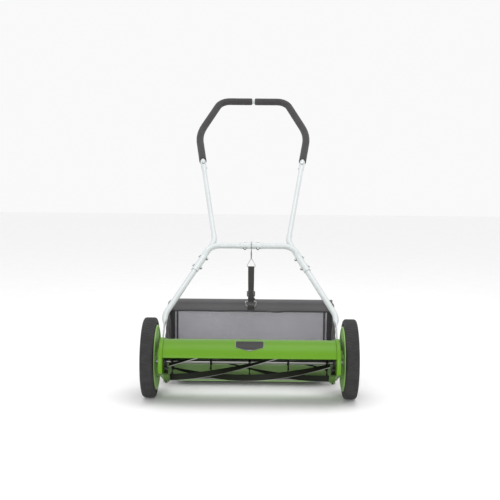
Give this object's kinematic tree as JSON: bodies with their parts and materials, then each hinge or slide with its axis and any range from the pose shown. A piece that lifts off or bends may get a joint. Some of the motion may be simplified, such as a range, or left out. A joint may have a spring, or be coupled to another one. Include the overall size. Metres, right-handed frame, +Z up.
{
  "type": "push reel mower",
  "caption": "Push reel mower with a twisted-blade reel under an arched cover, gear-driven wheels, rear roller, folding loop handle and a rear fabric grass catcher.",
  "frame": {"origin": "centre of the machine's outline on the ground it stands on", "axes": "+Z up, +Y towards the handle and the person pushing, +X to the right seen from the front"},
  "size_m": [0.625, 1.025, 0.9521],
  "materials": {
    "green_paint": "glossy green powder coat",
    "green_plastic": "satin moulded green plastic",
    "white_paint": "smooth pale grey-white powder coat on steel tube",
    "black_paint": "satin black paint",
    "bare_steel": "dark rolled steel with ground edges",
    "zinc": "bright zinc plating",
    "black_plastic": "lightly textured moulded black plastic",
    "foam": "dark grey closed-cell foam",
    "tyre": "dark grey moulded tread",
    "bag_fabric": "dark woven fabric with a grey mesh back panel",
    "webbing": "black ribbed webbing"
  },
  "bodies": {
    "chassis": {"side_plate_left": "green_paint", "side_plate_right": "green_paint", "gear_cover_left": "green_plastic", "gear_cover_right": "green_plastic", "axle_left": "bare_steel", "axle_right": "bare_steel", "handle_stud_left": "zinc", "handle_stud_right": "zinc", "reel_bearing_left": "black_plastic", "reel_bearing_right": "black_plastic", "deck_cover": "green_paint", "badge": "black_plastic", "tie_tube": "black_paint", "cutter_bar": "green_paint", "bed_knife": "bare_steel", "catcher_rod": "black_paint"},
    "wheel_left": {"tyre_left": "tyre", "rim_left": "black_plastic", "hub_cap_left": "green_plastic"},
    "wheel_right": {"tyre_right": "tyre", "rim_right": "black_plastic", "hub_cap_right": "green_plastic"},
    "reel": {"reel_shaft": "bare_steel", "reel_spider_1": "black_paint", "reel_spider_2": "black_paint", "reel_spider_3": "black_paint", "reel_spider_4": "black_paint", "reel_spider_5": "black_paint", "reel_blade_1": "bare_steel", "reel_blade_2": "bare_steel", "reel_blade_3": "bare_steel", "reel_blade_4": "bare_steel", "reel_blade_5": "bare_steel", "drive_pinion_left": "black_plastic", "drive_pinion_right": "black_plastic"},
    "roller_carrier": {"roller_bracket_left": "black_paint", "roller_bracket_right": "black_paint", "roller_axle": "zinc"},
    "roller": {"rear_roller": "black_plastic"},
    "handle": {"lower_tube_left": "white_paint", "lower_tube_right": "white_paint", "mid_tube_left": "white_paint", "mid_tube_right": "white_paint", "loop_tube": "white_paint", "grip_left": "foam", "grip_right": "foam", "brace_left": "white_paint", "brace_right": "white_paint", "brace_splice": "zinc", "brace_bolt_1_left": "zinc", "brace_bolt_1_right": "zinc", "brace_bolt_2_left": "zinc", "brace_bolt_2_right": "zinc", "loop_bolt_left": "zinc", "loop_bolt_right": "zinc"},
    "strap": {"strap_hook": "zinc", "strap": "webbing"},
    "catcher": {"catcher_bag": "bag_fabric", "catcher_frame": "black_paint", "d_ring": "zinc"}
  },
  "joints": [
    {"name": "reel_spin", "type": "hinge", "parent": "chassis", "child": "reel", "pos_m": [0, -0.44633, 0.117], "axis": [1, 0, 0], "continuous": true},
    {"name": "wheel_left_spin", "type": "hinge", "parent": "chassis", "child": "wheel_left", "pos_m": [-0.294, -0.38433, 0.117], "axis": [1, 0, 0], "continuous": true},
    {"name": "wheel_right_spin", "type": "hinge", "parent": "chassis", "child": "wheel_right", "pos_m": [0.294, -0.38433, 0.117], "axis": [1, 0, 0], "continuous": true},
    {"name": "height_adjust", "type": "hinge", "parent": "chassis", "child": "roller_carrier", "pos_m": [0, -0.32433, 0.072], "axis": [1, 0, 0], "range_deg": [-10, 0]},
    {"name": "roller_spin", "type": "hinge", "parent": "roller_carrier", "child": "roller", "pos_m": [0, -0.14933, 0.019], "axis": [1, 0, 0], "continuous": true},
    {"name": "handle_fold", "type": "hinge", "parent": "chassis", "child": "handle", "pos_m": [0, -0.34933, 0.15], "axis": [1, 0, 0], "range_deg": [0, 95]},
    {"name": "strap_swing", "type": "hinge", "parent": "handle", "child": "strap", "pos_m": [0, -0.06517, 0.42592], "axis": [1, 0, 0], "range_deg": [-95, 0]},
    {"name": "catcher_tilt", "type": "hinge", "parent": "chassis", "child": "catcher", "pos_m": [0, -0.27233, 0.092], "axis": [1, 0, 0], "range_deg": [0, 20], "deforming": ["strap"]}
  ],
  "couplings": [
    {"joint": "wheel_left_spin", "follows": "reel_spin", "ratio": 0.225},
    {"joint": "wheel_right_spin", "follows": "reel_spin", "ratio": 0.225},
    {"joint": "strap_swing", "follows": "handle_fold", "ratio": -1}
  ]
}
